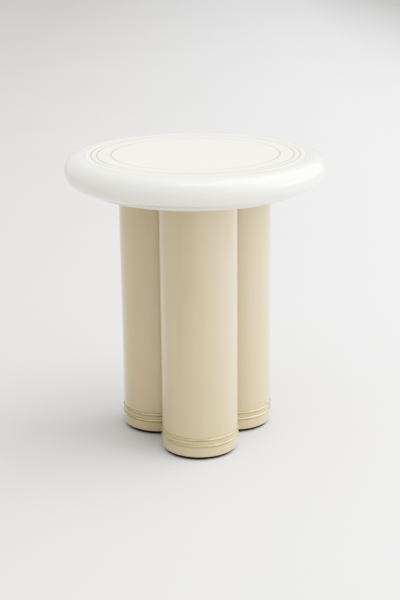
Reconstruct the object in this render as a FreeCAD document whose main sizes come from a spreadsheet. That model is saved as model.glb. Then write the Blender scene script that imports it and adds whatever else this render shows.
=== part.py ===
import FreeCAD, Part

import os

import Sketcher

# Round occasional table: a white bullnose rim round a cream panel with three brass lines,
# carried by three cream columns that stand in a trefoil. Millimetres, +Z up, floor at z = 0,
# origin on the floor under the middle of the top, the front column towards -Y.

SIZES = {
    # the whole table
    "table_height": 572,
    # white rim
    "rim_outer_diameter": 506,
    "rim_thickness": 55,
    "rim_width": 48,
    "rim_edge_rounding": 0.8,
    # cream top panel, let into the rim and resting on a ledge of it
    "panel_ledge": 8,
    "panel_thickness": 12,
    "panel_clearance": 0.2,
    "panel_edge_rounding": 0.6,
    # brass lines in the panel: how far their centre lines lie from the panel's seat in the rim
    "inlay_outer_inset": 11.5,
    "inlay_middle_inset": 23,
    "inlay_inner_inset": 50.5,
    "inlay_width": 3,
    "inlay_depth": 2.5,
    "inlay_clearance": 0.1,
    # stepped disc under the rim, which the columns are bolted to
    "base_flange_lap": 4,
    "base_flange_thickness": 10,
    "base_spigot_thickness": 15,
    "base_clearance": 0.3,
    "base_edge_rounding": 1,
    # light frame between the stepped disc and the panel
    "hoop_width": 30,
    "hub_diameter": 120,
    "rib_width": 18,
    "rib_housing_depth": 6,
    "rib_clearance": 0.1,
    # screws that hold the stepped disc up to the hoop
    "top_screw_length": 40,
    "top_screw_diameter": 5,
    "top_screw_head_diameter": 10,
    "top_screw_tip_length": 5,
    # columns
    "leg_diameter": 149.5,
    "leg_gap": 3.7,
    "leg_wall": 9,
    "leg_bottom_rounding": 1.5,
    "leg_top_rounding": 0.8,
    "plug_clearance": 0.2,
    "top_plug_thickness": 30,
    "bottom_plug_thickness": 24,
    # half-round brass beads near the foot of each column
    "bead_height": 5.6,
    "bead_reach": 1.7,
    "bead_seat_depth": 0.8,
    "bead_clearance": 0.1,
    "bead_seam_gap": 0.4,
    "lower_bead_rise": 23.2,
    "bead_spacing": 12.8,
    # recessed foot under each column
    "foot_recess": 5,
    "foot_disc_thickness": 5,
    "foot_pad_recess": 3,
    "foot_pad_thickness": 2,
    "foot_pad_bevel": 0.5,
    "foot_screw_circle_diameter": 90,
    "foot_screw_length": 20,
    "foot_screw_diameter": 4,
    "foot_screw_head_diameter": 8,
    "foot_screw_tip_length": 4,
    # bolts that hold each column up to the stepped disc
    "bolt_circle_diameter": 76,
    "bolt_diameter": 8,
    "bolt_length": 35,
    "bolt_head_diameter": 13,
    "bolt_head_height": 8,
    "bolt_socket_width": 6,
    "bolt_socket_depth": 4,
    "counterbore_diameter": 20,
    "counterbore_depth": 11.5,
    "washer_diameter": 17,
    "washer_thickness": 1.6,
    "insert_diameter": 12,
    "insert_length": 24,
    "insert_bevel": 1,
    "hole_clearance": 0.2,
    # how far every cut runs past the solid that it cuts
    "cut_overrun": 2,
}

# how many there are: ribs in the top, screws under it, screws in each foot, bolts in each column
COUNTS = {"rib_count": 6, "top_screw_count": 6, "foot_screw_count": 3, "bolt_count": 3}

# the columns, and the way each stands from the middle, in degrees from +X
LEGS = {"front": -90, "right": 30, "left": 150}


def s(name):
    """The spreadsheet cell of a size, as an expression."""
    return f"<<sizes>>.{name}"


# heights, radii and offsets that follow from the sizes
rim_bottom = f"({s('table_height')} - {s('rim_thickness')})"
base_bottom = f"({rim_bottom} - {s('base_flange_thickness')})"
spigot_top = f"({rim_bottom} + {s('base_spigot_thickness')})"
panel_bottom = f"({s('table_height')} - {s('panel_thickness')})"
core_height = f"({panel_bottom} - {spigot_top})"
foot_height = f"({s('foot_pad_thickness')} + {s('foot_disc_thickness')})"
leg_length = f"({base_bottom} - {foot_height})"
leg_radius = f"({s('leg_diameter')} / 2)"
leg_circle = f"(({s('leg_diameter')} + {s('leg_gap')}) / sqrt(3))"
rim_bore = f"({s('rim_outer_diameter')} / 2 - {s('rim_width')})"
panel_seat = f"({rim_bore} + {s('panel_ledge')})"
foot_radius = f"({leg_radius} - {s('foot_recess')})"
bolt_seat = f"({spigot_top} - {s('counterbore_depth')})"
spigot_radius = f"({rim_bore} - {s('base_clearance')})"
hoop_inner = f"({spigot_radius} - {s('hoop_width')})"
hoop_middle = f"({spigot_radius} - {s('hoop_width')} / 2)"
rib_inner = f"({s('hub_diameter')} / 2 - {s('rib_housing_depth')})"
rib_outer = f"({hoop_inner} + {s('rib_housing_depth')})"
lower_bead = f"({foot_height} + {s('lower_bead_rise')})"
upper_bead = f"({lower_bead} + {s('bead_spacing')})"
foot_screw_offset = f"({s('foot_screw_circle_diameter')} / 2)"


# how near two points are when they count as one
same_place = 1e-4


def make_sheet(doc):
    """Puts the driving sizes in a spreadsheet, one alias for each."""
    sheet = doc.addObject("Spreadsheet::Sheet", "sizes")
    for row, (name, value) in enumerate(SIZES.items(), start=1):
        sheet.set(f"A{row}", name)
        sheet.set(f"B{row}", str(value))
        sheet.setAlias(f"B{row}", name)
    doc.recompute()
    return sheet


def new_body(doc, label):
    body = doc.addObject("PartDesign::Body", label)
    body.Label = label
    body.AllowCompound = True
    return body


def origin_item(body, role):
    """The plane or axis of the body's own origin that has this role."""
    return next(item for item in body.Origin.OriginFeatures if item.Role == role)


def new_sketch(body, name, role, height="0"):
    """A sketch on one of the body's origin planes, lifted along the plane's normal."""
    sketch = body.newObject("Sketcher::SketchObject", f"{body.Label}_{name}")
    sketch.AttachmentSupport = [(origin_item(body, role), "")]
    sketch.MapMode = "FlatFace"
    if height != "0":
        sketch.setExpression("AttachmentOffset.Base.z", height)
    return sketch


def bind(sketch, constraint, expression):
    """Adds a constraint with a size and binds that size to an expression."""
    index = sketch.addConstraint(constraint)
    sketch.setExpression(f"Constraints[{index}]", expression)


def place_point(sketch, geo, end, across, up):
    """Fixes one point of a sketch by two expressions; 0 puts it on the sketch's own axis."""
    if across == "0":
        sketch.addConstraint(Sketcher.Constraint("PointOnObject", geo, end, -2))
    else:
        bind(sketch, Sketcher.Constraint("DistanceX", geo, end, rough(sketch, across)), across)
    if up == "0":
        sketch.addConstraint(Sketcher.Constraint("PointOnObject", geo, end, -1))
    else:
        bind(sketch, Sketcher.Constraint("DistanceY", geo, end, rough(sketch, up)), up)


def rough(item, expression):
    """The number that an expression stands for now."""
    value = item.evalExpression(expression)
    return float(getattr(value, "Value", value))


def circles(sketch, radii, across="0", up="0"):
    """Circles round one centre."""
    for radius in radii:
        centre = FreeCAD.Vector(rough(sketch, across), rough(sketch, up), 0)
        geo = sketch.addGeometry(Part.Circle(centre, FreeCAD.Vector(0, 0, 1), rough(sketch, radius)))
        bind(sketch, Sketcher.Constraint("Radius", geo, rough(sketch, radius)), radius)
        if across == "0" and up == "0":
            sketch.addConstraint(Sketcher.Constraint("Coincident", geo, 3, -1, 1))
        else:
            place_point(sketch, geo, 3, across, up)


def outline(sketch, points, arcs=None):
    """A closed outline through points given as expressions. arcs names the upright stretches that
    are round: start point number -> (how far across the arc's centre lies, and its crown)."""
    arcs = arcs or {}
    spots = [FreeCAD.Vector(rough(sketch, x), rough(sketch, y), 0) for x, y in points]
    count = len(points)
    ends = []
    for i, start in enumerate(spots):
        finish = spots[(i + 1) % count]
        if i in arcs:
            crown = FreeCAD.Vector(rough(sketch, arcs[i][1]), (start.y + finish.y) / 2, 0)
            geo = sketch.addGeometry(Part.Arc(start, crown, finish))
            forward = sketch.Geometry[geo].StartPoint.distanceToPoint(start) < start.distanceToPoint(finish) / 2
            ends.append((geo, 1, 2) if forward else (geo, 2, 1))
        else:
            ends.append((sketch.addGeometry(Part.LineSegment(start, finish)), 1, 2))
    for i, (geo, _, last) in enumerate(ends):
        following, first, _ = ends[(i + 1) % count]
        sketch.addConstraint(Sketcher.Constraint("Coincident", geo, last, following, first))
    for (geo, first, _), (x, y) in zip(ends, points):
        place_point(sketch, geo, first, x, y)
    for i, (centre, _) in arcs.items():
        geo = ends[i][0]
        bind(sketch, Sketcher.Constraint("DistanceX", geo, 3, rough(sketch, centre)), centre)


def pad(body, sketch, length):
    feature = body.newObject("PartDesign::Pad", f"{sketch.Name}_pad")
    feature.Profile = sketch
    feature.setExpression("Length", length)
    return feature


def pocket(body, sketch, depth, upwards=False):
    """Cuts down from the sketch, or up from it, by a depth."""
    feature = body.newObject("PartDesign::Pocket", f"{sketch.Name}_cut")
    feature.Profile = sketch
    feature.setExpression("Length", depth)
    feature.Reversed = upwards
    return feature


def spin(body, sketch, axis, cut=False, angle=None):
    """Turns a sketch about an axis, as added material or as a cut."""
    kind = "Groove" if cut else "Revolution"
    feature = body.newObject(f"PartDesign::{kind}", f"{sketch.Name}_{kind.lower()}")
    feature.Profile = sketch
    feature.ReferenceAxis = axis
    if angle:
        feature.Midplane = True
        feature.setExpression("Angle", angle)
    return feature


def repeat(body, features, kind):
    """Copies features evenly round the body's own Z axis, as often as their kind's count says."""
    pattern = body.newObject("PartDesign::PolarPattern", f"{features[-1].Name}_ring")
    pattern.Originals = features
    pattern.Axis = (origin_item(body, "Z_Axis"), [""])
    pattern.Angle = 360
    pattern.Occurrences = COUNTS[f"{kind}_count"]
    body.Tip = pattern
    return pattern


def round_rims(doc, body, radius, level, widest):
    """Rounds the widest, or the narrowest, of the solid's circular edges at one height."""
    doc.recompute()
    solid = body.Tip
    middle = FreeCAD.Vector(0, 0, rough(body, level))
    found = []
    for number, edge in enumerate(solid.Shape.Edges, start=1):
        if isinstance(edge.Curve, Part.Circle) and edge.Curve.Center.isEqual(middle, same_place):
            found.append((edge.Curve.Radius, f"Edge{number}"))
    name = (max(found) if widest else min(found))[1]
    feature = body.newObject("PartDesign::Fillet", f"{solid.Name}_rounding")
    feature.Base = (solid, [name])
    feature.setExpression("Radius", radius)
    body.Tip = feature
    return feature


def disc(doc, label, radius, bottom, height):
    """A body that starts as a plain disc about its own Z axis."""
    body = new_body(doc, label)
    sketch = new_sketch(body, "outline", "XY_Plane", bottom)
    circles(sketch, [radius])
    pad(body, sketch, height)
    return body


def stand_on_leg(body, angle):
    """Moves a piece from the middle of the table to the axis of one column."""
    body.Placement = FreeCAD.Placement(
        FreeCAD.Vector(), FreeCAD.Rotation(FreeCAD.Vector(0, 0, 1), angle)
    )
    body.setExpression("Placement.Base.x", f"{leg_circle} * cos({angle} deg)")
    body.setExpression("Placement.Base.y", f"{leg_circle} * sin({angle} deg)")


def screw_points(kind, offset, bottom, spare="0"):
    """Outline of half a countersunk screw, head down, as far as its tip; spare widens it into
    the hole that the screw goes through."""
    head = f"{s(kind + '_head_diameter')} / 2 + {spare}"
    shank = f"{s(kind + '_diameter')} / 2 + {spare}"
    top = f"{bottom} + {s(kind + '_length')}"
    shoulder = f"{bottom} + ({s(kind + '_head_diameter')} - {s(kind + '_diameter')}) / 2"
    point = f"{top} - {s(kind + '_tip_length')}"
    return [
        (offset, bottom),
        (f"{offset} + {head}", bottom),
        (f"{offset} + {shank}", shoulder),
        (f"{offset} + {shank}", point),
        (offset, f"{top} + {spare}"),
    ]


def screw_ring(doc, label, kind, offset, bottom):
    """A ring of identical countersunk screws, heads down."""
    body = new_body(doc, label)
    sketch = new_sketch(body, "half", "XZ_Plane")
    outline(sketch, screw_points(kind, offset, bottom))
    turned = spin(body, sketch, (sketch, ["Edge5"]))
    repeat(body, [turned], kind)
    return body


def screw_holes(body, kind, offset, bottom):
    """The holes for such a ring of screws, in whichever body they pass through."""
    sketch = new_sketch(body, f"{kind}_hole", "XZ_Plane")
    outline(sketch, screw_points(kind, offset, bottom, s("hole_clearance")))
    turned = spin(body, sketch, (sketch, ["Edge5"]), cut=True)
    repeat(body, [turned], kind)


def make_rim(doc):
    """White ring with a full round outer edge; its bore is stepped to seat the panel."""
    body = new_body(doc, "rim_ring")
    sketch = new_sketch(body, "section", "XZ_Plane")
    outer = f"{s('rim_outer_diameter')} / 2"
    nose = f"{s('rim_thickness')} / 2"
    outline(
        sketch,
        [
            (rim_bore, rim_bottom),
            (f"{outer} - {nose}", rim_bottom),
            (f"{outer} - {nose}", s("table_height")),
            (panel_seat, s("table_height")),
            (panel_seat, panel_bottom),
            (rim_bore, panel_bottom),
        ],
        arcs={1: (f"{outer} - {nose}", outer)},
    )
    spin(body, sketch, (origin_item(body, "Z_Axis"), [""]))
    round_rims(doc, body, s("rim_edge_rounding"), s("table_height"), widest=False)
    return [body]


def make_panel(doc):
    """Cream disc let into the rim, with a groove for each brass line."""
    radius = f"({panel_seat} - {s('panel_clearance')})"
    body = disc(doc, "top_panel", radius, panel_bottom, s("panel_thickness"))
    round_rims(doc, body, s("panel_edge_rounding"), s("table_height"), widest=True)
    pieces = [body]
    half = f"{s('inlay_width')} / 2"
    for place in ("outer", "middle", "inner"):
        line = f"{panel_seat} - {s(f'inlay_{place}_inset')}"
        groove = new_sketch(body, f"{place}_groove", "XY_Plane", s("table_height"))
        circles(
            groove,
            [
                f"{line} + {half} + {s('inlay_clearance')}",
                f"{line} - {half} - {s('inlay_clearance')}",
            ],
        )
        body.Tip = pocket(body, groove, s("inlay_depth"))
        ring = new_body(doc, f"inlay_ring_{place}")
        section = new_sketch(ring, "outline", "XY_Plane", f"{s('table_height')} - {s('inlay_depth')}")
        circles(section, [f"{line} + {half}", f"{line} - {half}"])
        pad(ring, section, s("inlay_depth"))
        pieces.append(ring)
    return pieces


def rib_housings(body, inner, outer):
    """Slots that the ends of the ribs sit in."""
    half = f"{s('rib_width')} / 2 + {s('rib_clearance')}"
    sketch = new_sketch(body, "housing", "XY_Plane", panel_bottom)
    outline(
        sketch,
        [(inner, f"-({half})"), (outer, f"-({half})"), (outer, half), (inner, half)],
    )
    cut = pocket(body, sketch, core_height)
    repeat(body, [cut], "rib")


def make_core(doc):
    """Hoop, hub and ribs that keep the panel off the stepped disc."""
    hoop = new_body(doc, "core_hoop")
    section = new_sketch(hoop, "outline", "XY_Plane", spigot_top)
    circles(section, [spigot_radius, hoop_inner])
    pad(hoop, section, core_height)
    rib_housings(hoop, f"{hoop_inner} - {s('cut_overrun')}", rib_outer)
    screw_holes(hoop, "top_screw", hoop_middle, base_bottom)

    hub = disc(doc, "core_hub", f"{s('hub_diameter')} / 2", spigot_top, core_height)
    rib_housings(hub, rib_inner, f"{s('hub_diameter')} / 2 + {s('cut_overrun')}")

    pieces = [hoop, hub]
    for number in range(COUNTS["rib_count"]):
        angle = 360 * number / COUNTS["rib_count"]
        rib = doc.addObject("Part::Box", f"core_rib_{number + 1}")
        rib.Label = f"core_rib_{number + 1}"
        rib.setExpression("Length", f"{rib_outer} - {rib_inner} - 2 * {s('rib_clearance')}")
        rib.setExpression("Width", s("rib_width"))
        rib.setExpression("Height", core_height)
        rib.Placement = FreeCAD.Placement(
            FreeCAD.Vector(), FreeCAD.Rotation(FreeCAD.Vector(0, 0, 1), angle)
        )
        start = f"({rib_inner} + {s('rib_clearance')})"
        side = f"({s('rib_width')} / 2)"
        rib.setExpression("Placement.Base.x", f"{start} * cos({angle} deg) + {side} * sin({angle} deg)")
        rib.setExpression("Placement.Base.y", f"{start} * sin({angle} deg) - {side} * cos({angle} deg)")
        rib.setExpression("Placement.Base.z", spigot_top)
        pieces.append(rib)
    return pieces


def bolt_spots():
    """Where the column bolts pass through the stepped disc, seen from above."""
    for angle in LEGS.values():
        for number in range(COUNTS["bolt_count"]):
            turn = angle + 360 * number / COUNTS["bolt_count"]
            yield (
                f"{leg_circle} * cos({angle} deg) + {s('bolt_circle_diameter')} / 2 * cos({turn} deg)",
                f"{leg_circle} * sin({angle} deg) + {s('bolt_circle_diameter')} / 2 * sin({turn} deg)",
            )


def make_base(doc):
    """Stepped disc: a flange that laps under the rim and a spigot that centres it."""
    radius = f"({rim_bore} + {s('base_flange_lap')})"
    body = disc(doc, "base_disc", radius, base_bottom, s("base_flange_thickness"))
    round_rims(doc, body, s("base_edge_rounding"), base_bottom, widest=True)
    spigot = new_sketch(body, "spigot", "XY_Plane", rim_bottom)
    circles(spigot, [spigot_radius])
    body.Tip = pad(body, spigot, s("base_spigot_thickness"))
    for name, diameter, depth in (
        ("counterbore", s("counterbore_diameter"), s("counterbore_depth")),
        ("bolt_hole", s("bolt_diameter"), f"{s('base_flange_thickness')} + {s('base_spigot_thickness')}"),
    ):
        sketch = new_sketch(body, name, "XY_Plane", spigot_top)
        for across, up in bolt_spots():
            circles(sketch, [f"{diameter} / 2 + {s('hole_clearance')}"], across, up)
        body.Tip = pocket(body, sketch, depth)
    screw_holes(body, "top_screw", hoop_middle, base_bottom)
    return [body, screw_ring(doc, "top_screws", "top_screw", hoop_middle, base_bottom)]


def make_shell(doc, label):
    """Hollow column with a shallow seat for each of its two beads."""
    body = new_body(doc, label)
    section = new_sketch(body, "outline", "XY_Plane", foot_height)
    circles(section, [leg_radius, f"{leg_radius} - {s('leg_wall')}"])
    pad(body, section, leg_length)
    round_rims(doc, body, s("leg_bottom_rounding"), foot_height, widest=True)
    round_rims(doc, body, s("leg_top_rounding"), base_bottom, widest=True)
    floor_of_seat = f"{leg_radius} - {s('bead_seat_depth')}"
    outside = f"{leg_radius} + {s('cut_overrun')}"
    half = f"({s('bead_height')} / 2 + {s('bead_clearance')})"
    for name, middle in (("lower", lower_bead), ("upper", upper_bead)):
        seat = new_sketch(body, f"{name}_seat", "XZ_Plane")
        outline(
            seat,
            [
                (floor_of_seat, f"{middle} - {half}"),
                (outside, f"{middle} - {half}"),
                (outside, f"{middle} + {half}"),
                (floor_of_seat, f"{middle} + {half}"),
            ],
        )
        body.Tip = spin(body, seat, (origin_item(body, "Z_Axis"), [""]), cut=True)
    return body


def make_bead(doc, label, middle):
    """Half-round brass wire bent round the column, its ends butted on the hidden side."""
    body = new_body(doc, label)
    sketch = new_sketch(body, "section", "XZ_Plane")
    back = f"{leg_radius} - {s('bead_seat_depth')} + {s('bead_clearance')}"
    half = f"({s('bead_height')} / 2)"
    reach = s("bead_reach")
    radius = f"({half} ^ 2 + {reach} ^ 2) / (2 * {reach})"
    outline(
        sketch,
        [
            (back, f"{middle} - {half}"),
            (leg_radius, f"{middle} - {half}"),
            (leg_radius, f"{middle} + {half}"),
            (back, f"{middle} + {half}"),
        ],
        arcs={1: (f"{leg_radius} + {reach} - {radius}", f"{leg_radius} + {reach}")},
    )
    seam = f"360 deg - {s('bead_seam_gap')} / {leg_radius} * 1 rad"
    spin(body, sketch, (origin_item(body, "Z_Axis"), [""]), angle=seam)
    return body


def make_plugs(doc, name):
    """The discs glued into both ends of a column."""
    radius = f"({leg_radius} - {s('leg_wall')} - {s('plug_clearance')})"
    bottom = f"{base_bottom} - {s('top_plug_thickness')}"
    top = disc(doc, f"leg_top_plug_{name}", radius, bottom, s("top_plug_thickness"))
    sketch = new_sketch(top, "insert_hole", "XY_Plane", base_bottom)
    circles(
        sketch, [f"{s('insert_diameter')} / 2 + {s('hole_clearance')}"],
        f"{s('bolt_circle_diameter')} / 2",
    )
    repeat(top, [pocket(top, sketch, s("insert_length"))], "bolt")
    lower = disc(doc, f"leg_bottom_plug_{name}", radius, foot_height, s("bottom_plug_thickness"))
    screw_holes(lower, "foot_screw", foot_screw_offset, s("foot_pad_thickness"))
    return [top, lower]


def make_foot(doc, name):
    """Recessed dark disc, screwed up into the bottom plug, with a soft pad under it."""
    bottom = s("foot_pad_thickness")
    foot = disc(doc, f"foot_disc_{name}", foot_radius, bottom, s("foot_disc_thickness"))
    screw_holes(foot, "foot_screw", foot_screw_offset, bottom)
    screws = screw_ring(doc, f"foot_screws_{name}", "foot_screw", foot_screw_offset, bottom)
    pad_radius = f"({foot_radius} - {s('foot_pad_recess')})"
    under = disc(doc, f"foot_pad_{name}", pad_radius, "0", s("foot_pad_thickness"))
    round_rims(doc, under, s("foot_pad_bevel"), "0", widest=True)
    return [foot, screws, under]


def make_fixings(doc, name):
    """Bolts, washers and threaded inserts that hold one column up to the stepped disc."""
    offset = f"{s('bolt_circle_diameter')} / 2"
    head_seat = f"({bolt_seat} + {s('washer_thickness')})"
    head_top = f"({head_seat} + {s('bolt_head_height')})"
    shank = f"{offset} + {s('bolt_diameter')} / 2"
    bolts = new_body(doc, f"leg_bolts_{name}")
    sketch = new_sketch(bolts, "half", "XZ_Plane")
    outline(
        sketch,
        [
            (offset, f"{head_seat} - {s('bolt_length')}"),
            (shank, f"{head_seat} - {s('bolt_length')}"),
            (shank, head_seat),
            (f"{offset} + {s('bolt_head_diameter')} / 2", head_seat),
            (f"{offset} + {s('bolt_head_diameter')} / 2", head_top),
            (offset, head_top),
        ],
    )
    turned = spin(bolts, sketch, (sketch, ["Edge6"]))
    socket = new_sketch(bolts, "socket", "XY_Plane", head_top)
    corner = f"{s('bolt_socket_width')} / sqrt(3)"
    turns = range(30, 360, 60)
    outline(
        socket,
        [(f"{offset} + {corner} * cos({turn} deg)", f"{corner} * sin({turn} deg)") for turn in turns],
    )
    cut = pocket(bolts, socket, s("bolt_socket_depth"))
    repeat(bolts, [turned, cut], "bolt")

    washers = new_body(doc, f"bolt_washers_{name}")
    sketch = new_sketch(washers, "outline", "XY_Plane", bolt_seat)
    circles(
        sketch,
        [f"{s('washer_diameter')} / 2", f"{s('bolt_diameter')} / 2 + {s('hole_clearance')}"],
        offset,
    )
    repeat(washers, [pad(washers, sketch, s("washer_thickness"))], "bolt")

    inserts = new_body(doc, f"leg_inserts_{name}")
    sketch = new_sketch(inserts, "half", "XZ_Plane")
    bore = f"{offset} + {s('bolt_diameter')} / 2 + {s('hole_clearance')}"
    wall = f"{offset} + {s('insert_diameter')} / 2"
    foot = f"{base_bottom} - {s('insert_length')}"
    outline(
        sketch,
        [
            (bore, foot),
            (f"{wall} - {s('insert_bevel')}", foot),
            (wall, f"{foot} + {s('insert_bevel')}"),
            (wall, base_bottom),
            (bore, base_bottom),
        ],
    )
    axis = new_sketch(inserts, "middle", "XZ_Plane")
    line = axis.addGeometry(
        Part.LineSegment(
            FreeCAD.Vector(rough(axis, offset), 0, 0),
            FreeCAD.Vector(rough(axis, offset), rough(axis, base_bottom), 0),
        )
    )
    place_point(axis, line, 1, offset, "0")
    place_point(axis, line, 2, offset, base_bottom)
    repeat(inserts, [spin(inserts, sketch, (axis, ["Edge1"]))], "bolt")
    return [bolts, washers, inserts]


def make_leg(doc, name, angle):
    """One column with all that is in it and on it."""
    pieces = [make_shell(doc, f"leg_shell_{name}")]
    pieces.append(make_bead(doc, f"bead_upper_{name}", upper_bead))
    pieces.append(make_bead(doc, f"bead_lower_{name}", lower_bead))
    pieces += make_plugs(doc, name)
    pieces += make_foot(doc, name)
    pieces += make_fixings(doc, name)
    for piece in pieces:
        stand_on_leg(piece, angle)
    return pieces


def check(doc, pieces):
    """Stops if any object failed, or if a piece is empty, broken or not solid."""
    for item in doc.Objects:
        if "Invalid" in item.State or "Error" in item.State:
            raise RuntimeError(f"{item.Label} failed: {item.State}")
    for piece in pieces:
        shape = piece.Shape
        if shape.isNull() or not shape.isValid() or not shape.Solids:
            raise RuntimeError(f"{piece.Label} has no sound solid")


def main():
    doc = FreeCAD.newDocument("occasional_table")
    make_sheet(doc)
    pieces = make_rim(doc) + make_panel(doc) + make_core(doc) + make_base(doc)
    for name, angle in LEGS.items():
        pieces += make_leg(doc, name, angle)
    doc.recompute()
    check(doc, pieces)
    os.makedirs("parts", exist_ok=True)
    for piece in pieces:
        piece.Shape.exportStep(f"parts/{piece.Label}.step")
        box = piece.Shape.BoundBox
        print(
            f"{piece.Label}: {len(piece.Shape.Solids)} solid, volume {piece.Shape.Volume:.0f},"
            f" z {box.ZMin:.2f} to {box.ZMax:.2f}"
        )


main()
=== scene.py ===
import math

import bpy
from mathutils import Matrix, Vector


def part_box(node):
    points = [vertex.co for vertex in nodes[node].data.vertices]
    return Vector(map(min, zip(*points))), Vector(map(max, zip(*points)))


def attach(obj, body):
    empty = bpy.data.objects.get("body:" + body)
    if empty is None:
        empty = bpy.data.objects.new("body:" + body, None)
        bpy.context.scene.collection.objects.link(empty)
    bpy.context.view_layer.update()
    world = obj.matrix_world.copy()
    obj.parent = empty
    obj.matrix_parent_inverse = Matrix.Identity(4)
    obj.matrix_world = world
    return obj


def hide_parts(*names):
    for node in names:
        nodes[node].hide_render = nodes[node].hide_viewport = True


# Round occasional table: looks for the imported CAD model, the screws under its top, a camera at the
# picture's angle and a plain pale studio. Metres, +Z up, floor at z = 0, front column towards -Y.

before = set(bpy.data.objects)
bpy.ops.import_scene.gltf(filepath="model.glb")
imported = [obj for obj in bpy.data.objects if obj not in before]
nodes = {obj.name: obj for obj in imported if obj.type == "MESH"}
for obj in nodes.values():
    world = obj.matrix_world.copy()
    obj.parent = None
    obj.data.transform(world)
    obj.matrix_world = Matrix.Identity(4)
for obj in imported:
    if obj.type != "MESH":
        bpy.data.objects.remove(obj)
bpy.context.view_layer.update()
legNames = ("front", "right", "left")


bpy.ops.object.select_all(action="DESELECT")
print("frame loaded:", len(nodes), "nodes")


class Wire:  # the value of a socket; sums and products of wires add their Math nodes
    def __init__(self, finish, socket):
        self.finish = finish
        self.socket = socket

    def maths(self, operation, first, second):
        return self.finish.node("Math", {"operation": operation}, {0: first, 1: second})

    def __add__(self, other):
        return self.maths("ADD", self, other)

    def __radd__(self, other):
        return self.maths("ADD", other, self)

    def __sub__(self, other):
        return self.maths("SUBTRACT", self, other)

    def __rsub__(self, other):
        return self.maths("SUBTRACT", other, self)

    def __mul__(self, other):
        return self.maths("MULTIPLY", self, other)

    def __rmul__(self, other):
        return self.maths("MULTIPLY", other, self)

    def __abs__(self):
        return self.maths("ABSOLUTE", self, 0.0)


class Finish:  # one material and the nodes that make it
    def __init__(self, name, fixed):
        self.material = bpy.data.materials.new(name)
        self.material.use_nodes = True
        self.tree = self.material.node_tree
        self.shader = self.tree.nodes["Principled BSDF"]
        for socketName, value in fixed.items():
            self.shader.inputs[socketName].default_value = value
        self.objectPlace = self.node("TexCoord", output="Object")

    def node(self, kind, settings=None, values=None, output=0):
        made = self.tree.nodes.new("ShaderNode" + kind)
        for name, value in (settings or {}).items():
            setattr(made, name, value)
        for name, value in (values or {}).items():
            self.feed(made.inputs[name], value)
        return Wire(self, made.outputs[output])

    def feed(self, socket, value):
        if isinstance(value, Wire):
            self.tree.links.new(value.socket, socket)
        else:
            socket.default_value = value

    def set(self, **wires):
        for name, value in wires.items():
            self.feed(self.shader.inputs[name.replace("_", " ")], value)

    def along(self, letter):  # X, Y or Z on the object
        return self.node("SeparateXYZ", values={"Vector": self.objectPlace}, output=letter)

    def reach(self):  # distance from the table's own upright axis
        flat = self.node("Mapping", values={"Vector": self.objectPlace, "Scale": (1, 1, 0)})
        return self.node("VectorMath", {"operation": "LENGTH"}, {0: flat}, output="Value")

    def noise(self, scale, detail=2.0, stretch=(1, 1, 1), shift=(0, 0, 0), roughness=0.5):
        values = {
            "Vector": self.node(
                "Mapping", values={"Vector": self.objectPlace, "Scale": stretch, "Location": shift}
            ),
            "Scale": scale, "Detail": detail, "Roughness": roughness,
        }
        return self.node("TexNoise", values=values, output="Fac")

    def rings(self, distance, scale, detail):  # a pattern that changes with one number only
        values = {"W": distance, "Scale": scale, "Detail": detail}
        return self.node("TexNoise", {"noise_dimensions": "1D"}, values, output="Fac")

    def specks(self, scale, size, core=0.5):  # 1 on small round specks, 0 between them
        values = {"Vector": self.objectPlace, "Scale": scale, "Randomness": 1.0}
        distance = self.node("TexVoronoi", {}, values, output="Distance")
        return self.band(distance, size, size * core)

    def band(self, wire, low, high, lowTo=0.0, highTo=1.0):
        values = {
            "Value": wire, "From Min": low, "From Max": high, "To Min": lowTo, "To Max": highTo,
        }
        return self.node("MapRange", {"clamp": True}, values)

    def blend(self, factor, first, second):  # a Mix node's colours go in at 6 and 7 and out at 2
        return self.node("Mix", {"data_type": "RGBA"}, {0: factor, 6: first, 7: second}, output=2)

    def bump(self, height, depth, under=None):
        values = {"Height": height, "Distance": depth, "Strength": 1.0}
        if under:
            values["Normal"] = under
        return self.node("Bump", values=values)


def rgb(red, green, blue):
    return (red, green, blue, 1.0)


def paint(finish, *names):
    for name in names:
        for slot in nodes[name].material_slots:
            slot.material = finish.material


def heights(name):  # of a node's lowest and highest points
    lowest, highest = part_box(name)
    return lowest[2], highest[2]


shellEnd = heights("leg_shell_front")[0]  # these are the same on all three columns
lowerBead = heights("bead_lower_front")
upperBead = heights("bead_upper_front")

# what all gloss lacquer here shares: how sharp and how fine its patterns are
lacquerSkin = {
    "cloudDetail": 3.0, "cloudBand": (0.3, 0.7), "cloudShare": 0.5,
    "streakDetail": 3.0, "streakBand": (0.32, 0.68), "streakShare": 0.5,
    "mottleDetail": 4.0, "mottleRoughness": 0.65, "mottleBand": (0.52, 0.75),
    "nibSize": 0.05, "nibDirt": 0.25, "nibHeight": 0.00004,
    "paintedShadePatches": {"scale": 60.0, "detail": 4.0}, "paintedShadePatchBand": (0.35, 0.7), "paintedShadeCore": 0.4,
    "smearDetail": 4.0, "smearBand": (0.35, 0.75),
    "hairlines": {"scale": 260.0, "detail": 2.0, "stretch": (1, 1, 0.06), "shift": (0.3, 0.1, 0.0)},
    "hairlineBand": (0.66, 0.72), "hairlineRoughness": 0.03,
    "waveDetail": 1.0, "peel": {"scale": 420.0, "detail": 2.0}, "peelDepth": 0.000012,
}
whiteLook = {
    "light": rgb(0.75, 0.74, 0.68), "deep": rgb(0.73, 0.72, 0.65), "aged": rgb(0.725, 0.70, 0.61),
    "ior": 1.5, "roughness": 0.2, "coatRoughness": 0.025, "mottle": 0.25, "mottleScale": 9.0,
    "cloudScale": 7.0, "streakScale": 5.0, "stretch": (1, 1, 1),
    "smear": 0.07, "smearScale": 22.0, "smearStretch": (1, 1, 2.5),
    "waveScale": 12.0, "waveDepth": 0.0002, "nibScale": 55.0,
    "paintedShadeBands": (), "dirtAndPaintedShadeColour": rgb(0.45, 0.40, 0.31),
}
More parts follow.
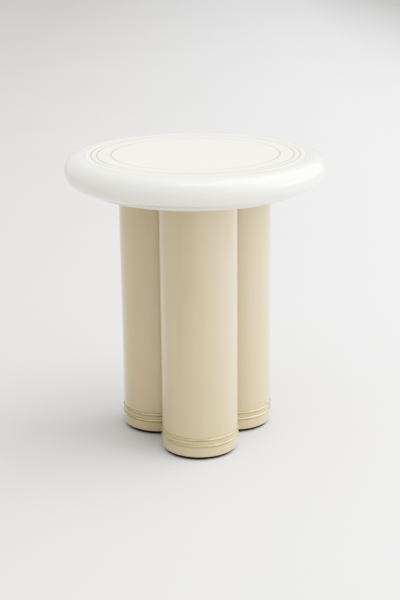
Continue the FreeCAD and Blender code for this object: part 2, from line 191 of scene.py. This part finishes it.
creamLook = {
    "light": rgb(0.51, 0.40, 0.231), "deep": rgb(0.461, 0.357, 0.202),
    "aged": rgb(0.476, 0.361, 0.194),
    "ior": 1.78, "roughness": 0.3, "coatRoughness": 0.05, "mottle": 0.35, "mottleScale": 12.0,
    "cloudScale": 5.0, "streakScale": 34.0, "stretch": (1, 1, 0.035),
    "smear": 0.07, "smearScale": 18.0, "smearStretch": (1, 1, 0.3),
    "waveScale": 26.0, "waveDepth": 0.0002, "nibScale": 45.0,
    "dirtAndPaintedShade": 0.35, "dirtAndPaintedShadeColour": rgb(0.33, 0.27, 0.16),
    "paintedShadeBands": (  # painted shade: height and half width of a darker band at the lower end and on both sides of each bead
        (shellEnd - 0.0002, 0.004),
        (lowerBead[0] - 0.0016, 0.0022), (lowerBead[1] + 0.0016, 0.0022),
        (upperBead[0] - 0.0016, 0.0022), (upperBead[1] + 0.0014, 0.0022),
    ),
}
ivoryLook = {
    "light": rgb(0.99, 0.92, 0.755), "deep": rgb(0.975, 0.90, 0.725), "aged": rgb(0.96, 0.87, 0.68),
    "ior": 1.6, "roughness": 0.2, "coatRoughness": 0.05, "mottle": 0.3, "mottleScale": 8.0,
    "cloudScale": 5.0, "streakScale": 6.0, "stretch": (1, 1, 1),
    "smear": 0.08, "smearScale": 14.0, "smearStretch": (1, 1, 1),
    "waveScale": 9.0, "waveDepth": 0.0001, "nibScale": 50.0,
    "paintedShadeBands": (), "dirtAndPaintedShadeColour": rgb(0.45, 0.40, 0.31),
}


def lacquerColour(finish, look, nibs):  # two near shades, faint streaks, aged patches, some dirt from dust nibs, and painted shade in bands
    skin = lacquerSkin
    cloud = finish.band(finish.noise(look["cloudScale"], skin["cloudDetail"]), *skin["cloudBand"])
    streak = finish.band(
        finish.noise(look["streakScale"], skin["streakDetail"], look["stretch"]),
        *skin["streakBand"],
    )
    mixed = cloud * skin["cloudShare"] + streak * skin["streakShare"]
    shade = finish.blend(mixed, look["light"], look["deep"])
    mottle = finish.band(
        finish.noise(look["mottleScale"], skin["mottleDetail"], roughness=skin["mottleRoughness"]),
        *skin["mottleBand"],
    )
    shade = finish.blend(mottle * look["mottle"], shade, look["aged"])
    dirtAndPaintedShade = nibs * skin["nibDirt"]
    # painted shade: bands darkened beside the beads and at the shells' lower ends, broken up by
    # patches
    for level, halfWidth in look["paintedShadeBands"]:
        near = finish.band(abs(finish.along("Z") - level), halfWidth, halfWidth * skin["paintedShadeCore"])
        patches = finish.band(finish.noise(**skin["paintedShadePatches"]), *skin["paintedShadePatchBand"])
        dirtAndPaintedShade = dirtAndPaintedShade + near * patches * look["dirtAndPaintedShade"]
    return finish.blend(dirtAndPaintedShade, shade, look["dirtAndPaintedShadeColour"])


# gloss lacquer: wiping smears and hairlines in the gloss, a slightly wavy skin with a fine peel,
# and dust nibs
def lacquer(name, look):
    skin = lacquerSkin
    finish = Finish(
        name, {"IOR": look["ior"], "Coat Weight": 1.0, "Coat IOR": look["ior"],
               "Coat Roughness": look["coatRoughness"]},
    )
    nibs = finish.specks(look["nibScale"], skin["nibSize"])
    smear = finish.band(
        finish.noise(look["smearScale"], skin["smearDetail"], look["smearStretch"]),
        *skin["smearBand"],
    )
    hairlines = finish.band(finish.noise(**skin["hairlines"]), *skin["hairlineBand"])
    wave = finish.noise(look["waveScale"], skin["waveDetail"], look["stretch"])
    peel = finish.noise(**skin["peel"])
    surface = finish.bump(peel, skin["peelDepth"], finish.bump(wave, look["waveDepth"]))
    finish.set(
        Base_Color=lacquerColour(finish, look, nibs),
        Roughness=look["roughness"] + smear * look["smear"] + hairlines * skin["hairlineRoughness"],
        Normal=finish.bump(nibs, skin["nibHeight"], surface),
    )
    return finish


whiteLacquer = lacquer("whiteLacquer", whiteLook)
creamLacquer = lacquer("creamLacquer", creamLook)
ivoryLacquer = lacquer("ivoryLacquer", ivoryLook)
paint(whiteLacquer, "rim_ring", "base_disc")
paint(ivoryLacquer, "top_panel")
paint(creamLacquer, *[f"leg_shell_{leg}" for leg in legNames])

# what all brass here shares: fine lines left by polishing, and some tarnish
brassWear = {
    "tarnish": {"scale": 38.0, "detail": 4.0, "roughness": 0.6}, "tarnishBand": (0.45, 0.7),
    "tarnishRoughness": 0.12, "polish": {"scale": 1500.0, "detail": 2.0}, "polishRoughness": 0.08,
    "polishDepth": 0.000006, "edgePatches": {"scale": 70.0, "detail": 3.0},
    "edgePatchBand": (0.2, 0.6, 0.35, 1.0),
}
beadLook = {
    "bright": rgb(0.59, 0.505, 0.325), "dull": rgb(0.50, 0.42, 0.265),
    "edge": rgb(0.27, 0.21, 0.11), "roughness": 0.44,
    "edgeFrom": 0.62, "edgeTo": 0.95,  # shares of a bead's half height
}
inlayLook = {
    "bright": rgb(0.82, 0.735, 0.52), "dull": rgb(0.74, 0.645, 0.43), "edge": rgb(0.50, 0.40, 0.24),
    "roughness": 0.34, "overlap": {"scale": 30.0, "detail": 2.0}, "overlapBand": (0.62, 0.7),
    "overlapShare": 0.5,
}


def brassFinish(name, look, lines, edge):
    wear = brassWear
    finish = Finish(name, {"Metallic": 1.0})
    tarnish = finish.band(finish.noise(**wear["tarnish"]), *wear["tarnishBand"])
    polish = finish.rings(lines(finish), **wear["polish"])
    metal = finish.blend(tarnish, look["bright"], look["dull"])
    patches = finish.band(finish.noise(**wear["edgePatches"]), *wear["edgePatchBand"])
    finish.set(
        Base_Color=finish.blend(edge(finish, look) * patches, metal, look["edge"]),
        Roughness=(
            look["roughness"] + tarnish * wear["tarnishRoughness"]
            + polish * wear["polishRoughness"]
        ),
        Normal=finish.bump(polish, wear["polishDepth"]),
    )
    return finish


def beadEdge(finish, look):  # 1 along both edges of either bead, where lacquer meets it
    fromLower, fromUpper = [
        abs(finish.along("Z") - (low + high) / 2) for low, high in (lowerBead, upperBead)
    ]
    away = finish.node("Math", {"operation": "MINIMUM"}, {0: fromLower, 1: fromUpper})
    half = (lowerBead[1] - lowerBead[0]) / 2
    return finish.band(away, half * look["edgeFrom"], half * look["edgeTo"])


def inlayEdge(finish, look):  # places where a trace of lacquer lies over the line
    return finish.band(finish.noise(**look["overlap"]), *look["overlapBand"]) * look["overlapShare"]


beadBrass = brassFinish("beadBrass", beadLook, lambda finish: finish.along("Z"), beadEdge)
inlayBrass = brassFinish("inlayBrass", inlayLook, lambda finish: finish.reach(), inlayEdge)
paint(inlayBrass, "inlay_ring_outer", "inlay_ring_middle", "inlay_ring_inner")
paint(beadBrass, *[f"bead_{level}_{leg}" for level in ("upper", "lower") for leg in legNames])

footLook = {
    "ior": 1.45, "roughness": 0.45, "rubRoughness": 0.3, "grainRoughness": 0.1,
    "deep": rgb(0.010, 0.009, 0.008), "light": rgb(0.022, 0.020, 0.017),
    "bare": rgb(0.09, 0.065, 0.04), "cloud": {"scale": 9.0, "detail": 3.0},
    "rub": {"scale": 45.0, "detail": 5.0, "roughness": 0.65}, "rubBand": (0.62, 0.74),
    "rubShare": 0.6, "grain": {"scale": 600.0}, "grainDepth": 0.00003,
}


# satin black paint on the foot discs, with rubbed patches where the board shows through
def footFinish(look):
    finish = Finish("darkFoot", {"IOR": look["ior"]})
    rub = finish.band(finish.noise(**look["rub"]), *look["rubBand"])
    grain = finish.noise(**look["grain"])
    black = finish.blend(finish.noise(**look["cloud"]), look["deep"], look["light"])
    finish.set(
        Base_Color=finish.blend(rub * look["rubShare"], black, look["bare"]),
        Roughness=look["roughness"] + rub * look["rubRoughness"] + grain * look["grainRoughness"],
        Normal=finish.bump(grain, look["grainDepth"]),
    )
    return finish


feltLook = {
    "sheen": 0.6, "sheenRoughness": 0.5, "specular": 0.2, "roughnessBand": (0.3, 0.7, 0.88, 1.0),
    "deep": rgb(0.018, 0.016, 0.014), "light": rgb(0.075, 0.068, 0.06), "toneBand": (0.38, 0.62),
    "fibre": {"scale": 1400.0, "detail": 4.0, "roughness": 0.75}, "fibreShare": 0.6,
    "tufts": {"scale": 160.0, "detail": 3.0, "roughness": 0.6}, "tuftShare": 0.4,
    "pileShare": 0.5, "pileDepth": 0.0004,
}


# pressed felt: matted fibres, two tones, small tufts
def feltFinish(look):
    finish = Finish("footFelt", {
        "Sheen Weight": look["sheen"], "Sheen Roughness": look["sheenRoughness"],
        "Specular IOR Level": look["specular"],
    })
    fibre = finish.noise(**look["fibre"])
    tufts = finish.noise(**look["tufts"])
    tone = finish.band(fibre * look["fibreShare"] + tufts * look["tuftShare"], *look["toneBand"])
    pile = fibre * look["pileShare"] + tufts * look["pileShare"]
    finish.set(
        Base_Color=finish.blend(tone, look["deep"], look["light"]),
        Roughness=finish.band(tufts, *look["roughnessBand"]),
        Normal=finish.bump(pile, look["pileDepth"]),
    )
    return finish


boardLook = {
    "ior": 1.4, "roughnessBand": (0.3, 0.7, 0.7, 0.9), "toneBand": (0.35, 0.65),
    "deep": rgb(0.46, 0.33, 0.20), "light": rgb(0.60, 0.45, 0.29), "chip": rgb(0.25, 0.16, 0.09),
    "fibre": {"scale": 520.0, "detail": 5.0, "stretch": (1, 1, 0.4), "roughness": 0.7},
    "fibreDepth": 0.0002, "chips": {"scale": 190.0, "size": 0.3}, "chipShare": 0.4,
}


# board of pressed fibre with darker chips, seen only where the table is taken apart
def boardFinish(look):
    finish = Finish("pressedBoard", {"IOR": look["ior"]})
    fibre = finish.noise(**look["fibre"])
    chips = finish.specks(**look["chips"])
    base = finish.blend(finish.band(fibre, *look["toneBand"]), look["deep"], look["light"])
    finish.set(
        Base_Color=finish.blend(chips * look["chipShare"], base, look["chip"]),
        Roughness=finish.band(fibre, *look["roughnessBand"]),
        Normal=finish.bump(fibre, look["fibreDepth"]),
    )
    return finish


steelLook = {
    "roughness": 0.26, "spangleRoughness": 0.1, "spotRoughness": 0.2,
    "light": rgb(0.56, 0.57, 0.58), "deep": rgb(0.45, 0.46, 0.47), "spot": rgb(0.33, 0.31, 0.28),
    "spangle": {"scale": 350.0, "detail": 3.0}, "spots": {"scale": 120.0, "detail": 4.0},
    "spotBand": (0.6, 0.7), "spotShare": 0.5,
    "turning": {"scale": 2600.0, "detail": 2.0}, "turningDepth": 0.00002,
}


# zinc-plated steel: soft spangle, dull spots, and turning marks that change with height
def steelFinish(look):
    finish = Finish("platedSteel", {"Metallic": 1.0})
    spangle = finish.noise(**look["spangle"])
    turning = finish.rings(finish.along("Z"), **look["turning"])
    spots = finish.band(finish.noise(**look["spots"]), *look["spotBand"])
    plate = finish.blend(spangle, look["light"], look["deep"])
    finish.set(
        Base_Color=finish.blend(spots * look["spotShare"], plate, look["spot"]),
        Roughness=(
            look["roughness"] + spangle * look["spangleRoughness"] + spots * look["spotRoughness"]
        ),
        Normal=finish.bump(turning, look["turningDepth"]),
    )
    return finish


darkFoot = footFinish(footLook)
footFelt = feltFinish(feltLook)
pressedBoard = boardFinish(boardLook)
platedSteel = steelFinish(steelLook)
paint(darkFoot, *[f"foot_disc_{leg}" for leg in legNames])
paint(footFelt, *[f"foot_pad_{leg}" for leg in legNames])
paint(platedSteel, "top_screws")
for part in ("foot_screws", "leg_bolts", "bolt_washers", "leg_inserts"):
    paint(platedSteel, *[f"{part}_{leg}" for leg in legNames])
paint(pressedBoard, "core_hoop", "core_hub")
paint(pressedBoard, *[name for name in nodes if name.startswith("core_rib_")])
for part in ("leg_top_plug", "leg_bottom_plug"):
    paint(pressedBoard, *[f"{part}_{leg}" for leg in legNames])
print("finishes made")


# countersunk screws with cross recesses, in place of the plain ones under the top
screwSizes = {
    "headWidth": 0.010, "headEdge": 0.0004, "shankWidth": 0.005, "tip": 0.005, "tipWidth": 0.0006,
    "recessReach": 0.0026, "recessArm": 0.00062, "recessDepth": 0.0026, "recessOverrun": 0.0004,
    "recessTaper": 0.45, "sides": 48, "edgeRounding": 0.00012, "edgeSteps": 2,
    "edgeAngle": math.radians(35),
    "turns": (12, 71, 38, 97, 55, 24),  # how far each screw happens to be turned, in degrees
}
nearlyUp = 0.9  # a face's normal counts as upwards above this


def chooseFaces(piece, wanted):  # in edit mode: selects the faces for which wanted says yes
    bpy.ops.mesh.select_mode(type="FACE")
    bpy.ops.mesh.select_all(action="DESELECT")
    bpy.ops.object.mode_set(mode="OBJECT")
    for face in piece.data.polygons:
        face.select = wanted(face)
    bpy.ops.object.mode_set(mode="EDIT")


def chooseOne(piece):
    bpy.ops.object.select_all(action="DESELECT")
    piece.select_set(True)
    bpy.context.view_layer.objects.active = piece


def settle():  # the place, turn and scale of what is selected go into its mesh
    bpy.ops.object.transform_apply(location=True, rotation=True, scale=True)


def crossCutter(sizes, low):  # two tapered bars, narrow end upwards
    bars = []
    taper = sizes["recessTaper"]
    depth = sizes["recessDepth"]
    for along, across in (("recessReach", "recessArm"), ("recessArm", "recessReach")):
        bpy.ops.mesh.primitive_cube_add(size=1, location=(0, 0, low + depth / 2))
        bar = bpy.context.object
        bar.scale = (2 * sizes[along], 2 * sizes[across], depth + sizes["recessOverrun"])
        settle()
        bpy.ops.object.mode_set(mode="EDIT")
        chooseFaces(bar, lambda face: face.normal.z > nearlyUp)
        bpy.ops.transform.resize(value=(taper, taper, 1), center_override=(0, 0, low))
        bpy.ops.object.mode_set(mode="OBJECT")
        bars.append(bar)
    return bars


def cutAway(piece, cutter):
    chooseOne(piece)
    cut = piece.modifiers.new("recess", "BOOLEAN")
    cut.operation = "DIFFERENCE"
    cut.solver = "EXACT"
    cut.object = cutter
    bpy.ops.object.modifier_apply(modifier=cut.name)
    bpy.data.objects.remove(cutter)


def softenEdges(piece, sizes):
    edge = piece.modifiers.new("softEdges", "BEVEL")
    edge.width = sizes["edgeRounding"]
    edge.segments = sizes["edgeSteps"]
    edge.limit_method = "ANGLE"
    edge.angle_limit = sizes["edgeAngle"]
    bpy.ops.object.modifier_apply(modifier=edge.name)
    bpy.ops.object.shade_smooth_by_angle(angle=sizes["edgeAngle"])


def makeScrew(sizes, low, high):  # on the upright axis, head down at height low
    bpy.ops.mesh.primitive_circle_add(
        vertices=sizes["sides"], radius=sizes["headWidth"] / 2, fill_type="NGON",
        location=(0, 0, low),
    )
    screw = bpy.context.object
    settle()
    neck = (sizes["headWidth"] - sizes["shankWidth"]) / 2
    steps = [
        (sizes["headEdge"], 1.0),
        (neck - sizes["headEdge"], sizes["shankWidth"] / sizes["headWidth"]),
        (high - low - neck - sizes["tip"], 1.0),
        (sizes["tip"], sizes["tipWidth"] / sizes["shankWidth"]),
    ]
    bpy.ops.object.mode_set(mode="EDIT")
    bpy.ops.mesh.select_all(action="SELECT")
    for rise, shrink in steps:
        bpy.ops.mesh.extrude_region_move(TRANSFORM_OT_translate={"value": (0, 0, rise)})
        bpy.ops.transform.resize(value=(shrink, shrink, 1), center_override=(0, 0, low))
    bpy.ops.mesh.select_all(action="SELECT")
    bpy.ops.mesh.normals_make_consistent(inside=False)
    bpy.ops.object.mode_set(mode="OBJECT")
    for bar in crossCutter(sizes, low):
        cutAway(screw, bar)
    softenEdges(screw, sizes)
    return screw


def makeTopScrews(sizes):
    lowest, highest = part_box("top_screws")
    ring = highest[0] - sizes["headWidth"] / 2  # from the table's axis to each screw's
    first = makeScrew(sizes, lowest[2], highest[2])
    screws = [first]
    while len(screws) < len(sizes["turns"]):
        chooseOne(first)
        bpy.ops.object.duplicate(linked=False)
        screws.append(bpy.context.object)
    for number, (screw, turn) in enumerate(zip(screws, sizes["turns"])):
        angle = 2 * math.pi * number / len(screws)
        screw.rotation_euler = (0, 0, math.radians(turn))
        screw.location = (ring * math.cos(angle), ring * math.sin(angle), 0)
    for screw in screws:
        screw.select_set(True)
    bpy.context.view_layer.objects.active = first
    settle()
    bpy.ops.object.join()
    first.name = "crossHeadScrews"
    first.data.materials.clear()
    first.data.materials.append(platedSteel.material)
    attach(first, "root")
    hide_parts("top_screws")


makeTopScrews(screwSizes)
bpy.ops.object.select_all(action="DESELECT")
print("screws made")


# camera, fitted to the picture
viewFit = {
    "focalLength": 77.716,  # mm on the default 36 mm wide format
    "height": 1.04597,
    "across": -0.0933,
    "back": -2.4626,
    "heading": 0.0403,  # radians from +Y towards +X
    "pitch": math.radians(17.3585),
    "roll": 0.0094,  # radians
    "farthest": 50.0,  # metres, where the view is cut off
}
upwards = Vector((0, 0, 1))


def makeCamera(fit):
    level = Vector((math.sin(fit["heading"]), math.cos(fit["heading"]), 0))
    forward = level * math.cos(fit["pitch"]) - upwards * math.sin(fit["pitch"])
    right = forward.cross(upwards).normalized()
    up = right.cross(forward)
    turnedRight = right * math.cos(fit["roll"]) - up * math.sin(fit["roll"])
    turnedUp = right * math.sin(fit["roll"]) + up * math.cos(fit["roll"])
    spot = Vector((fit["across"], fit["back"], fit["height"]))
    matrix = Matrix((turnedRight, turnedUp, -forward)).transposed().to_4x4()
    bpy.ops.object.camera_add()
    camera = bpy.context.object
    camera.name = "pictureCamera"
    camera.matrix_world = Matrix.Translation(spot) @ matrix
    camera.data.lens = fit["focalLength"]
    camera.data.clip_end = fit["farthest"]
    bpy.context.scene.camera = camera


# the picture's tones: more contrast in the middle and a soft shoulder towards white
pictureTone = {
    "gain": 1.23,
    "contrast": 1.5,
    "top": 1.2,
    "whiteLevel": 1.6,
    "steps": (0.012, 0.03, 0.06, 0.1, 0.15, 0.21, 0.28, 0.36, 0.46, 0.58, 0.72, 0.86),
}


def toned(light, tone):
    bent = (light * tone["gain"]) ** tone["contrast"]
    return min(1.0, tone["top"] * bent / (bent + tone["top"] - 1))


def setTone(tone):
    view = bpy.context.scene.view_settings
    view.view_transform = "Standard"
    view.use_curve_mapping = True
    mapping = view.curve_mapping
    mapping.white_level = [tone["whiteLevel"]] * 3
    curve = mapping.curves[3]  # the one for all three colours together
    for place in tone["steps"]:
        curve.points.new(place, 0)
    for point in curve.points:
        place = point.location[0]
        point.location = (place, toned(place * tone["whiteLevel"], tone))
    mapping.update()


# studio: a pale floor with painted light, lightest on the lamps' side, and painted shade far beyond
# it, pale surroundings, a wall of soft light at the right and more of it overhead
floorLook = {
    "size": 30.0, "roughness": 0.5, "ior": 1.15,
    # painted light and painted shade on the floor: its light colour towards the lamps, its deep
    # colour away from them, and a duller painted shade far beyond them
    "light": rgb(0.73, 0.735, 0.745), "deep": rgb(0.53, 0.51, 0.48), "far": rgb(0.47, 0.46, 0.45),
    "paintedLightFade": (-0.9, 0.9), "end": (1.4, 2.4),  # painted light fade and painted far shade, towards the right, in metres
    "paintedLightShare": 0.8, "cloud": {"scale": 1.2, "detail": 3.0}, "cloudShare": 0.2,
}
studio = {
    "surround": rgb(1.0, 1.0, 1.0), "surroundStrength": 0.42,
    "lampDistance": 10.0, "aimHeight": 0.35, "columnSpan": 30, "leastNarrowing": 0.35,
}
lampRows = {"low": (7, 15), "middle": (22, 15), "high": (42, 25)}  # elevation, degrees it spans
# radiance by azimuth (degrees from the camera's side towards its right)
lampColumns = {
    45: {"low": 0.26, "middle": 0.33, "high": 0.56},
    75: {"low": 0.96, "middle": 1.02, "high": 1.16},
    105: {"low": 0.78, "middle": 0.82, "high": 0.95},
    135: {"low": 0.30, "middle": 0.48, "high": 0.62},
}
otherLamps = {  # azimuth, elevation, degrees it spans sideways and upwards, radiance
    "window": (90, 9, 20, 9, 2.0),
    "ceilingStrip": (5, 72, 50, 5, 3.4),
    "topFront": (0, 66, 90, 28, 0.30),
    "topRight": (90, 66, 90, 28, 1.15),
    "topMiddle": (0, 90, 28, 28, 0.40),
}


def makeFloor(look):
    bpy.ops.mesh.primitive_plane_add(size=look["size"])
    floor = bpy.context.object
    floor.name = "floor"
    finish = Finish("paleFloor", {"Roughness": look["roughness"], "IOR": look["ior"]})
    cloud = finish.noise(**look["cloud"])
    across = finish.along("X")
    # painted light: lighter across towards the lamps at the right, mixed with random cloud
    paintedLightAndCloud = finish.band(across, *look["paintedLightFade"]) * look["paintedLightShare"] + cloud * look["cloudShare"]
    pale = finish.blend(paintedLightAndCloud, look["deep"], look["light"])
    # painted shade: duller far to the right, beyond the lamps' pool of light
    finish.set(Base_Color=finish.blend(finish.band(across, *look["end"]), pale, look["far"]))
    floor.data.materials.append(finish.material)


def makeLamp(name, azimuth, elevation, span, rise, radiance):
    aim = upwards * studio["aimHeight"]
    turn = math.radians(azimuth) - viewFit["heading"]
    lift = math.radians(elevation)
    flat = Vector((math.sin(turn), -math.cos(turn), 0))
    reach = studio["lampDistance"]
    spot = aim + (flat * math.cos(lift) + upwards * math.sin(lift)) * reach
    # a raised lamp is narrower for the same span of azimuth, but one right overhead keeps its width
    narrowing = 1.0 if elevation == 90 else max(math.cos(lift), studio["leastNarrowing"])
    width = 2 * reach * math.tan(math.radians(span / 2)) * narrowing
    height = 2 * reach * math.tan(math.radians(rise / 2))
    bpy.ops.object.light_add(type="AREA", location=spot)
    lamp = bpy.context.object
    lamp.name = name
    lamp.rotation_euler = (spot - aim).to_track_quat("Z", "Y").to_euler()
    lamp.data.shape = "RECTANGLE"
    lamp.data.size = width
    lamp.data.size_y = height
    lamp.data.energy = radiance * math.pi * width * height


def makeStudio():
    makeFloor(floorLook)
    world = bpy.data.worlds.new("paleStudio")
    bpy.context.scene.world = world
    world.use_nodes = True
    sky = world.node_tree.nodes["Background"]
    sky.inputs["Color"].default_value = studio["surround"]
    sky.inputs["Strength"].default_value = studio["surroundStrength"]
    for azimuth, column in lampColumns.items():
        for row, radiance in column.items():
            elevation, rise = lampRows[row]
            span = studio["columnSpan"]
            makeLamp(f"{row}Lamp{azimuth}", azimuth, elevation, span, rise, radiance)
    for name, numbers in otherLamps.items():
        makeLamp(name, *numbers)


makeCamera(viewFit)
setTone(pictureTone)
makeStudio()
print("camera and studio made")
